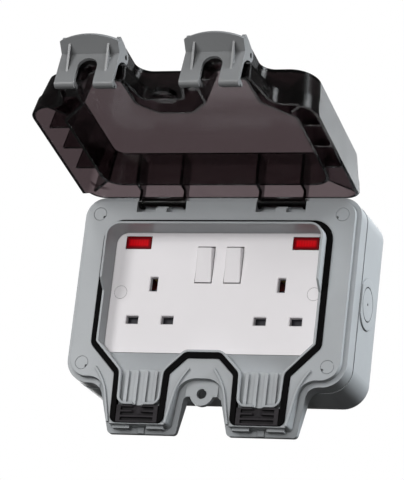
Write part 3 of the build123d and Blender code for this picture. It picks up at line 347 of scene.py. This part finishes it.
@dataclass(frozen=True)
class SealRubber:
    """Black rubber, matt, with a dry bloom, and painted shade that makes it blacker in its crevices.
    """

    name: str
    colour: Colour = (0.0015, 0.0014, 0.0015)
    bloom: Colour = (0.004, 0.0036, 0.004)
    bloom_per_metre: float = 140.0
    gloss: Span = (0.5, 0.68)
    shine: float = 0.035
    shade: float = 0.1
    shade_reach: float = 2.0 * MM
    shade_from: Span = (0.35, 0.9)
    grain_per_metre: float = 3200.0
    grain_depth: float = 0.05 * MM
    grain_strength: float = 0.25
    edge: float = 0.4 * MM

    def material(self) -> Material:
        """Build the finish.

        Returns:
            The material.
        """
        sheet = NodeSheet(self.name)
        cloud = sheet.noise(self.bloom_per_metre, detail=5.0, roughness=0.65)
        dusty = sheet.blend(sheet.spread(cloud, 0.0, 1.0), self.colour, self.bloom)
        # Painted shade: the colour is darkened in crevices.
        openness = sheet.spread(sheet.crevices(self.shade_reach), self.shade, 1.0, self.shade_from)
        sheet.feed("Base Color", sheet.scale(dusty, openness))
        sheet.feed("Roughness", sheet.spread(cloud, *self.gloss))
        grain = sheet.noise(self.grain_per_metre)
        sheet.relief(grain, self.grain_depth, self.grain_strength, self.edge)
        sheet.give("Specular IOR Level", self.shine)
        return sheet.material


@dataclass(frozen=True)
class IndicatorRed:
    """Red window with fine prisms behind its face; its red is painted bright in the middle as
    painted glow of the lamp behind it, darker towards its rim, with painted shade along the prism
    stripes.
    """

    name: str
    centre: Span
    half: Span
    colour: Colour = (0.66, 0.001, 0.006)
    dark: Colour = (0.15, 0.002, 0.005)
    rim_inside: float = 2.4 * MM
    rim_outside: float = 1.1 * MM
    prism_scale: float = 190.0
    prism_shade: float = 0.82
    prism_depth: float = 0.02 * MM
    prism_strength: float = 0.12
    haze_per_metre: float = 90.0
    gloss: Span = (0.28, 0.36)
    edge: float = 0.3 * MM
    shine: float = 0.05

    def material(self) -> Material:
        """Build the finish.

        Returns:
            The material.
        """
        sheet = NodeSheet(self.name)
        parts = sheet.add("ShaderNodeSeparateXYZ")
        sheet.join(sheet.place, parts.inputs["Vector"])
        inside: List[Wire] = []
        for axis, middle, half in zip("XZ", self.centre, self.half):
            offset = sheet.calculate("SUBTRACT", parts.outputs[axis], middle)
            rim = (half - self.rim_inside, half - self.rim_outside)
            inside.append(sheet.spread(sheet.calculate("ABSOLUTE", offset), 1.0, 0.0, rim))
        pane = sheet.calculate("MULTIPLY", *inside)
        lines = sheet.add("ShaderNodeTexWave", wave_type="BANDS", bands_direction="X")
        lines.inputs["Scale"].default_value = self.prism_scale
        sheet.join(sheet.place, lines.inputs["Vector"])
        prisms = lines.outputs["Fac"]
        # Painted glow: bright red in the middle of the pane, fading to the dark rim, with painted
        # shade on each prism stripe.
        glow = sheet.calculate(
            "MULTIPLY", pane, sheet.spread(prisms, self.prism_shade, 1.0, (0.0, 1.0))
        )
        sheet.feed("Base Color", sheet.blend(glow, self.dark, self.colour))
        haze = sheet.noise(self.haze_per_metre, detail=3.0)
        sheet.feed("Roughness", sheet.spread(haze, *self.gloss))
        sheet.relief(prisms, self.prism_depth, self.prism_strength, self.edge)
        sheet.give("Specular IOR Level", self.shine)
        return sheet.material


@dataclass(frozen=True)
class BareMetal:
    """Bright strip or plated metal with drawn streaks."""

    name: str
    colour: Colour
    gloss: Span = (0.22, 0.38)
    streak: Point = (0.08, 1.0, 1.0)
    tarnish: float = 0.8
    grain_per_metre: float = 900.0
    grain_depth: float = 0.03 * MM
    grain_strength: float = 0.2
    edge: float = 0.3 * MM

    def material(self) -> Material:
        """Build the finish.

        Returns:
            The material.
        """
        sheet = NodeSheet(self.name)
        streak = sheet.add("ShaderNodeMapping")
        streak.inputs["Scale"].default_value = self.streak
        sheet.join(sheet.place, streak.inputs["Vector"])
        sheet.place = streak.outputs["Vector"]
        grain = sheet.noise(self.grain_per_metre, detail=4.0)
        deep = tuple(channel * self.tarnish for channel in self.colour)
        sheet.feed("Base Color", sheet.blend(sheet.spread(grain, 0.0, 1.0), deep, self.colour))
        sheet.feed("Roughness", sheet.spread(grain, *self.gloss))
        sheet.relief(grain, self.grain_depth, self.grain_strength, self.edge)
        sheet.give("Metallic", 1.0)
        return sheet.material


@dataclass(frozen=True)
class LampGlass:
    """Clear glass of an indicator lamp, faintly warm."""

    name: str
    tint: Colour = (1.0, 0.86, 0.78)
    haze: float = 0.95
    haze_per_metre: float = 600.0
    gloss: Span = (0.02, 0.08)

    def material(self) -> Material:
        """Build the finish.

        Returns:
            The material.
        """
        sheet = NodeSheet(self.name)
        haze = sheet.noise(self.haze_per_metre, detail=3.0)
        hazy = tuple(channel * self.haze for channel in self.tint)
        sheet.feed("Base Color", sheet.blend(haze, hazy, self.tint))
        sheet.feed("Roughness", sheet.spread(haze, *self.gloss))
        sheet.give("Transmission Weight", 1.0)
        return sheet.material


# Each moulded finish below has painted shade darkening its crevices.
GREY = MouldedPlastic(
    "grey_moulding",
    (0.325, 0.34, 0.352),
    gloss=(0.32, 0.40),
    shine=0.3,
    painted_shade=0.62,
    painted_shade_from=(0.2, 0.88),
)
# The latches are the frame's grey plastic painted darker overall, as painted shade, with stronger
# painted shade in their crevices.
LATCH_PAINTED_SHADE = MouldedPlastic(
    "latch_moulding_painted_shade",
    (0.212, 0.217, 0.221),
    gloss=(0.27, 0.33),
    edge=0.2 * MM,
    painted_shade=0.7,
    painted_shade_reach=4.0 * MM,
    painted_shade_from=(0.2, 0.88),
)
WHITE = MouldedPlastic(
    "white_moulding",
    (0.80, 0.775, 0.79),
    mottle=0.012,
    gloss=(0.42, 0.50),
    grain_per_metre=1500.0,
    grain_depth=0.03 * MM,
    grain_strength=0.08,
    edge=0.4 * MM,
    shine=0.3,
    painted_shade=0.75,
    painted_shade_reach=1.5 * MM,
)
# The shutters are painted near-black navy, standing for the deep shade inside the slots.
SHUTTER = MouldedPlastic("shutter_moulding_painted_shade", (0.005, 0.005, 0.009), shine=0.2)
HOUSING = MouldedPlastic("housing_moulding", (0.30, 0.06, 0.05), shine=0.2, painted_shade=0.2)
# The latch pins' steel is painted near black, standing for the shade of the holes they sit in.
PIN = BareMetal("pin_steel_painted_hole_shade", (0.006, 0.006, 0.007), gloss=(0.5, 0.65))
SMOKE = SmokyPlastic("smoky_moulding", tint=(0.20, 0.10, 0.125), density=1380.0)
RUBBER = SealRubber("seal_rubber")
# The fins' rubber is painted lighter than the seal's, as painted light on the fins' faces, with
# painted shade reaching far to blacken the gaps between fins.
FIN_RUBBER = SealRubber(
    "fin_rubber_painted_light_and_shade",
    colour=(0.019, 0.017, 0.019),
    bloom=(0.042, 0.038, 0.042),
    shine=0.12,
    shade_reach=6.0 * MM,
)
BRASS = BareMetal("rolled_brass", (0.60, 0.42, 0.16))
STEEL = BareMetal("plated_steel", (0.62, 0.63, 0.65))
GLASS = LampGlass("lamp_glass")

LENS_CENTRE: Span = (52.4 * MM, 31.1 * MM)
LENS_HALF: Span = (7.95 * MM, 3.8 * MM)

COOL: Colour = (0.93, 0.97, 1.0)
FRONT = ("front_frame", "screw_caps")
MOULDINGS = ("back_box", "front_frame", "screw_caps", "box_seal", "latch_left", "latch_right")


class Workbench:
    """Short calls for modelling one piece with Blender's own operators."""

    @staticmethod
    def clear() -> None:
        """Leave nothing selected."""
        if bpy.context.object and bpy.context.object.mode != "OBJECT":
            bpy.ops.object.mode_set(mode="OBJECT")
        bpy.ops.object.select_all(action="DESELECT")

    @classmethod
    def block(cls, name: str, middle: Point, size: Point) -> Piece:
        """Add a block whose place is in its mesh.

        Args:
            name: Name of the piece.
            middle: Middle of the block.
            size: Its three sizes.

        Returns:
            The new object.
        """
        cls.clear()
        bpy.ops.mesh.primitive_cube_add(size=1.0, location=middle)
        piece = bpy.context.object
        piece.name = name
        piece.scale = size
        bpy.ops.object.transform_apply(location=True, rotation=True, scale=True)
        return piece

    @classmethod
    def copy_of(cls, node: str, name: str) -> Piece:
        """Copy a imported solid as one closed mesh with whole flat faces.

        Args:
            node: Name of the solid's node.
            name: Name of the copy.

        Returns:
            The new object.
        """
        cls.clear()
        piece = bpy.data.objects.new(name, frame["nodes"][node].data.copy())
        bpy.context.collection.objects.link(piece)
        piece.select_set(True)
        bpy.context.view_layer.objects.active = piece
        bpy.ops.object.mode_set(mode="EDIT")
        bpy.ops.mesh.select_all(action="SELECT")
        bpy.ops.mesh.remove_doubles(threshold=MERGE_DISTANCE)
        bpy.ops.mesh.dissolve_limited(angle_limit=math.radians(FLAT_ANGLE))
        bpy.ops.object.mode_set(mode="OBJECT")
        if piece.data.has_custom_normals:
            bpy.ops.mesh.customdata_custom_splitnormals_clear()
        return piece

    @staticmethod
    def unpick(kind: str) -> None:
        """Leave nothing picked in the active mesh, in object mode.

        Args:
            kind: What is going to be picked, EDGE or FACE.
        """
        bpy.ops.object.mode_set(mode="EDIT")
        bpy.ops.mesh.select_mode(type=kind)
        bpy.ops.mesh.select_all(action="DESELECT")
        bpy.ops.object.mode_set(mode="OBJECT")

    @classmethod
    def pick_edges(cls, piece: Piece, test: Callable[[Vector, Vector], bool]) -> None:
        """Select edges by their two ends and enter edit mode.

        Args:
            piece: The piece to work on.
            test: Tells whether an edge is wanted.
        """
        cls.unpick("EDGE")
        mesh = piece.data
        for edge in mesh.edges:
            edge.select = test(*(mesh.vertices[index].co for index in edge.vertices))
        bpy.ops.object.mode_set(mode="EDIT")

    @classmethod
    def pick_faces(cls, piece: Piece, test: Callable[[Vector, Vector], bool]) -> None:
        """Select faces by their middle and normal and enter edit mode.

        Args:
            piece: The piece to work on.
            test: Tells whether a face is wanted.
        """
        cls.unpick("FACE")
        for face in piece.data.polygons:
            face.select = test(face.center, face.normal)
        bpy.ops.object.mode_set(mode="EDIT")

    @staticmethod
    def soften(piece: Piece, width: float, segments: int, sharp: float) -> None:
        """Round the sharp edges of a piece and smooth its shading.

        Args:
            piece: The piece to work on.
            width: Width of the rounding.
            segments: Number of strips across it.
            sharp: Angle in degrees past which an edge is sharp.
        """
        if bpy.context.object.mode != "OBJECT":
            bpy.ops.object.mode_set(mode="OBJECT")
        rounding = piece.modifiers.new("rounding", "BEVEL")
        rounding.width = width
        rounding.segments = segments
        rounding.limit_method = "ANGLE"
        rounding.angle_limit = math.radians(sharp)
        rounding.use_clamp_overlap = False
        bpy.ops.object.modifier_apply(modifier=rounding.name)
        bpy.ops.object.shade_smooth_by_angle(angle=math.radians(sharp))

    @staticmethod
    def hand_over(piece: Piece, node: str, body: str, slot: Slot, finish: Material) -> None:
        """Finish a piece and let it stand for its solid.

        Args:
            piece: The finished piece.
            node: The solid that it stands for.
            body: The body that it moves with.
            slot: Not used.
            finish: Its material.
        """
        piece.data.materials.clear()
        piece.data.materials.append(finish)
        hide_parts(node)
        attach(piece, body)
        LOG.info("made %s", piece.name)


@dataclass
class NeonLens:
    """One red indicator window with a raised rim and a sunk pane."""

    side: Side
    corner: float = 1.4 * MM
    corner_segments: int = 5
    corner_length: float = 1.0 * MM
    rim: float = 0.8 * MM
    sink: float = 0.4 * MM
    slope: float = 0.25 * MM
    edge: float = 0.1 * MM
    edge_segments: int = 2
    sharp: float = 24.0

    def build(self) -> Piece:
        """Model the window.

        Returns:
            The finished mesh.
        """
        low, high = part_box(self.side.named("neon_lens"))
        middle = (self.side.value * LENS_CENTRE[0], (low.y + high.y) / 2, LENS_CENTRE[1])
        size = (2 * LENS_HALF[0], high.y - low.y, 2 * LENS_HALF[1])
        piece = Workbench.block(self.side.named("indicator_window"), middle, size)
        Workbench.pick_edges(piece, lambda a, b: abs(a.y - b.y) > self.corner_length)
        bpy.ops.mesh.bevel(offset=self.corner, segments=self.corner_segments, affect="EDGES")
        bpy.ops.object.mode_set(mode="OBJECT")
        Workbench.pick_faces(piece, lambda centre, normal: normal.y < FACING_FRONT)
        bpy.ops.mesh.inset(thickness=self.rim, depth=0.0)
        bpy.ops.mesh.inset(thickness=self.slope, depth=-self.sink)
        Workbench.soften(piece, self.edge, self.edge_segments, self.sharp)
        return piece

    def dress(self, piece: Piece) -> None:
        """Colour the window and let it stand for its solid.

        Args:
            piece: The finished window.
        """
        centre = (self.side.value * LENS_CENTRE[0], LENS_CENTRE[1])
        red = IndicatorRed(self.side.named("indicator_red"), centre, LENS_HALF).material()
        Workbench.hand_over(piece, self.side.named("neon_lens"), "box", Slot.RED, red)


@dataclass
class ReturnSpring:
    """The coil spring that closes a shutter."""

    side: Side
    wire: float = 0.35 * MM
    wire_sides: int = 8
    turns: int = 7
    steps: int = 16
    travel: float = 6.6 * MM
    smooth: float = 60.0

    def build(self) -> Piece:
        """Model the coil.

        Returns:
            The finished mesh.
        """
        low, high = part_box(self.side.named("shutter_spring"))
        radius = (high.x - low.x) / 2 - self.wire
        Workbench.clear()
        bpy.ops.mesh.primitive_circle_add(
            vertices=self.wire_sides,
            radius=self.wire,
            fill_type="NOTHING",
            location=(radius, 0.0, 0.0),
            rotation=(math.radians(90.0), 0.0, 0.0),
        )
        piece = bpy.context.object
        piece.name = self.side.named("return_spring")
        bpy.ops.object.transform_apply(location=True, rotation=True, scale=True)
        coil = piece.modifiers.new("coil", "SCREW")
        coil.axis = "Z"
        coil.iterations = self.turns
        coil.screw_offset = (high.z - low.z - 2 * self.wire) / self.turns
        coil.steps = coil.render_steps = self.steps
        bpy.ops.object.modifier_apply(modifier=coil.name)
        piece.location = ((low.x + high.x) / 2, (low.y + high.y) / 2, low.z + self.wire)
        bpy.ops.object.transform_apply(location=True, rotation=True, scale=True)
        bpy.ops.object.mode_set(mode="EDIT")
        bpy.ops.mesh.select_all(action="SELECT")
        bpy.ops.mesh.remove_doubles(threshold=MERGE_DISTANCE)
        bpy.ops.mesh.fill_holes(sides=0)
        bpy.ops.mesh.normals_make_consistent(inside=False)
        bpy.ops.object.mode_set(mode="OBJECT")
        bpy.ops.object.shade_smooth_by_angle(angle=math.radians(self.smooth))
        return piece

    def dress(self, piece: Piece, finish: Material) -> None:
        """Colour the coil and let it stand for its solid.

        Args:
            piece: The finished coil.
            finish: Its material.
        """
        node = self.side.named("shutter_spring")
        Workbench.hand_over(piece, node, "box", Slot.STEEL, finish)
        joint = self.side.named("shutter") + "_slide"
        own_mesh(piece)


@dataclass
class RoundedPiece:
    """A moulding whose edges are truly rounded, in place of its sharp solid."""

    node: str
    body: str
    slot: Slot
    finish: Material
    radius: float
    segments: int = 3
    sharp: float = 38.0
    corner: float = 0.0
    corner_segments: int = 4
    corner_length: float = 3.0 * MM
    straight: float = 0.01 * MM

    def is_corner(self, start: Vector, end: Vector) -> bool:
        """Tell whether an edge runs from front to back without leaning sideways."""
        return abs(start.x - end.x) < self.straight and abs(start.y - end.y) > self.corner_length

    def build(self) -> Piece:
        """Model the piece from its solid.

        Returns:
            The finished mesh.
        """
        piece = Workbench.copy_of(self.node, f"{self.node}_rounded")
        if self.corner:
            Workbench.pick_edges(piece, self.is_corner)
            bpy.ops.mesh.bevel(offset=self.corner, segments=self.corner_segments, affect="EDGES")
            bpy.ops.object.mode_set(mode="OBJECT")
        Workbench.soften(piece, self.radius, self.segments, self.sharp)
        return piece

    def dress(self, piece: Piece) -> None:
        """Colour the piece and let it stand for its solid."""
        Workbench.hand_over(piece, self.node, self.body, self.slot, self.finish)


@dataclass
class Socket:
    """The whole socket: dressed solids, and the pieces redrawn in place of some."""

    rocker_edge: float = 0.45 * MM
    rocker_corner: float = 1.2 * MM
    fin_edge: float = 0.3 * MM
    finishes: Dict[Slot, Material] = field(default_factory=dict)

    def mix(self) -> None:
        """Make every finish that several pieces share."""
        self.finishes = {
            Slot.GREY: GREY.material(),
            Slot.WHITE: WHITE.material(),
            Slot.SMOKE: SMOKE.material(),
            Slot.RUBBER: RUBBER.material(),
            Slot.BRASS: BRASS.material(),
            Slot.STEEL: STEEL.material(),
            Slot.GLASS: GLASS.material(),
            Slot.RED: IndicatorRed("indicator_red", LENS_CENTRE, LENS_HALF).material(),
        }

    def build(self) -> None:
        """Model the redrawn pieces and dress them."""
        white = self.finishes[Slot.WHITE]
        fins = FIN_RUBBER.material()
        for side in Side:
            lens = NeonLens(side)
            lens.dress(lens.build())
            spring = ReturnSpring(side)
            spring.dress(spring.build(), self.finishes[Slot.STEEL])
            name = side.named("rocker")
            rocker = RoundedPiece(
                name, name, Slot.WHITE, white, self.rocker_edge, corner=self.rocker_corner
            )
            rocker.dress(rocker.build())
            seal = RoundedPiece(side.named("cable_seal"), "box", Slot.RUBBER, fins, self.fin_edge)
            seal.dress(seal.build())

    def dress(self) -> None:
        """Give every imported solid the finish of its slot, or its own."""
        special = {"module_housing": HOUSING.material()}
        # The latches take the grey painted darker, as painted shade.
        shutter, pin, latch = SHUTTER.material(), PIN.material(), LATCH_PAINTED_SHADE.material()
        for side in Side:
            special[side.named("shutter")] = shutter
            special[side.named("latch_pin")] = pin
            special[side.named("latch")] = latch
        rows: List[dict] = frame["record"]["subparts"]
        for row in rows:
            node = frame["nodes"][row["node"]]
            finish = special.get(row["node"], self.finishes[Slot(row["material_slot"])])
            node.data.materials.clear()
            node.data.materials.append(finish)
        LOG.info("dressed %d solids", len(rows))


@dataclass(frozen=True)
class Lamp:
    """A soft box, which may light some pieces only."""

    name: str
    place: Point
    power: float
    size: Span
    aim: Point = (0.0, 0.0, 0.0)
    colour: Colour = (1.0, 1.0, 1.0)
    spread: float = 45.0
    only: Tuple[str, ...] = ()

    def build(self) -> None:
        """Hang the lamp."""
        data = bpy.data.lights.new(self.name, "AREA")
        data.shape = "RECTANGLE"
        data.size, data.size_y = self.size
        data.energy = self.power
        data.color = self.colour
        data.spread = math.radians(self.spread)
        holder = bpy.data.objects.new(self.name, data)
        bpy.context.collection.objects.link(holder)
        holder.location = self.place
        holder.visible_camera = False
        if self.only:
            lit = bpy.data.collections.new(f"lit_by_{self.name}")
            for name in self.only:
                lit.objects.link(frame["nodes"].get(name) or bpy.data.objects[name])
            holder.light_linking.receiver_collection = lit
        direction = Vector(self.aim) - Vector(self.place)
        holder.rotation_euler = direction.to_track_quat("-Z", "Y").to_euler()


@dataclass
class Studio:
    """Floor, lights, background and camera."""

    eye: Point = (0.5952, -1.6639, -0.5106)
    right: Point = (0.9423, 0.3158, 0.1110)
    up: Point = (-0.0047, -0.3192, 0.9477)
    focal_pixels: float = 3057.6
    picture_height: int = 480
    sensor: float = 36.0
    clip: Span = (0.05, 50.0)
    floor_height: float = -1.60
    floor_size: float = 8.0
    floor_colour: Colour = (0.86, 0.86, 0.86)
    floor_mottle: float = 0.97
    floor_mottle_per_metre: float = 6.0
    floor_roughness: float = 0.8
    horizon: Span = (-0.5, 0.5)
    ambient_above: float = 0.12
    ambient_below: float = 0.01
    mirrored: float = 0.07
    backdrop: float = 1.0
    lamps: Tuple[Lamp, ...] = (
        Lamp("key", (-0.75, -1.4, 0.42), 0.72, (0.6, 0.6), aim=(0.0, -0.05, 0.0)),
        Lamp("fill", (0.25, -1.6, -0.12), 1.52, (0.9, 0.9)),
        Lamp("right", (0.95, -0.12, 0.75), 2.2, (0.5, 0.5), colour=COOL, only=MOULDINGS),
        Lamp("right_soft", (1.05, -0.15, 0.8), 2.6, (1.5, 1.5), colour=COOL, only=("lid",)),
        Lamp("top", (-0.4, -0.95, 1.15), 0.55, (0.4, 0.4), aim=(0.0, -0.04, -0.06), only=FRONT),
        Lamp("back", (-0.5, 1.6, 0.35), 1.3, (0.9, 0.9), only=MOULDINGS),
        Lamp("left", (-1.5, 0.5, 0.35), 1.1, (0.9, 0.9), only=MOULDINGS),
        Lamp(
            "floor_wash",
            (0.0, 0.0, 3.0),
            330.0,
            (6.0, 6.0),
            aim=(0.0, 0.0, -1.6),
            spread=180.0,
            only=("floor",),
        ),
        Lamp("behind", (0.17, 1.5, 0.61), 0.055, (0.5, 0.5), colour=COOL),
        Lamp("behind_low", (0.53, 1.48, 0.45), 0.03, (0.6, 0.6), colour=COOL),
    )

    def camera(self) -> None:
        """Set the camera to the photograph's point of view."""
        data = bpy.data.cameras.new("photo_view")
        data.sensor_fit = "VERTICAL"
        data.sensor_height = self.sensor
        data.lens = self.focal_pixels * self.sensor / self.picture_height
        data.clip_start, data.clip_end = self.clip
        holder = bpy.data.objects.new("photo_view", data)
        bpy.context.collection.objects.link(holder)
        across = Vector(self.right).normalized()
        upward = Vector(self.up)
        upward = (upward - across * upward.dot(across)).normalized()
        turn = Matrix((across, upward, across.cross(upward))).transposed().to_4x4()
        holder.matrix_world = Matrix.Translation(Vector(self.eye)) @ turn
        bpy.context.scene.camera = holder

    def floor(self) -> None:
        """Lay a plain pale floor well below the socket, which throws no light back on it."""
        Workbench.clear()
        bpy.ops.mesh.primitive_plane_add(
            size=self.floor_size, location=(0.0, 0.0, self.floor_height)
        )
        ground = bpy.context.object
        ground.name = "floor"
        sheet = NodeSheet("floor_paint")
        shade = tuple(channel * self.floor_mottle for channel in self.floor_colour)
        cloud = sheet.noise(self.floor_mottle_per_metre)
        sheet.feed("Base Color", sheet.blend(cloud, shade, self.floor_colour))
        sheet.give("Roughness", self.floor_roughness)
        ground.data.materials.append(sheet.material)
        ground.visible_diffuse = False
        ground.visible_glossy = False

    def surroundings(self) -> None:
        """Make a white background that lights the socket softly, more from above than below."""
        world = bpy.data.worlds.new("studio_white")
        world.use_nodes = True
        tree = world.node_tree
        sky = tree.nodes["Background"]
        sky.inputs["Color"].default_value = (1.0, 1.0, 1.0, 1.0)
        heading = tree.nodes.new("ShaderNodeSeparateXYZ")
        compass = tree.nodes.new("ShaderNodeTexCoord")
        tree.links.new(compass.outputs["Generated"], heading.inputs["Vector"])
        ambient = tree.nodes.new("ShaderNodeMapRange")
        limits = (*self.horizon, self.ambient_below, self.ambient_above)
        for name, value in zip(("From Min", "From Max", "To Min", "To Max"), limits):
            ambient.inputs[name].default_value = value
        tree.links.new(heading.outputs["Z"], ambient.inputs["Value"])
        rays = tree.nodes.new("ShaderNodeLightPath")
        level = ambient.outputs["Result"]
        for ray, strength in (
            ("Is Glossy Ray", self.mirrored),
            ("Is Transmission Ray", self.backdrop),
            ("Is Camera Ray", self.backdrop),
        ):
            choice = tree.nodes.new("ShaderNodeMix")
            tree.links.new(rays.outputs[ray], choice.inputs["Factor"])
            tree.links.new(level, choice.inputs["A"])
            choice.inputs["B"].default_value = strength
            level = choice.outputs["Result"]
        tree.links.new(level, sky.inputs["Strength"])
        bpy.context.scene.world = world

    def build(self) -> None:
        """Set up the whole studio."""
        self.floor()
        self.camera()
        self.surroundings()
        for lamp in self.lamps:
            lamp.build()
        bpy.context.scene.view_settings.view_transform = "Standard"


def main() -> None:
    """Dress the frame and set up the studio."""
    logging.basicConfig(level=logging.INFO, format="%(name)s: %(message)s")
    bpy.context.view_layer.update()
    socket = Socket()
    socket.mix()
    socket.dress()
    socket.build()
    Studio().build()


if __name__ == "__main__":
    main()
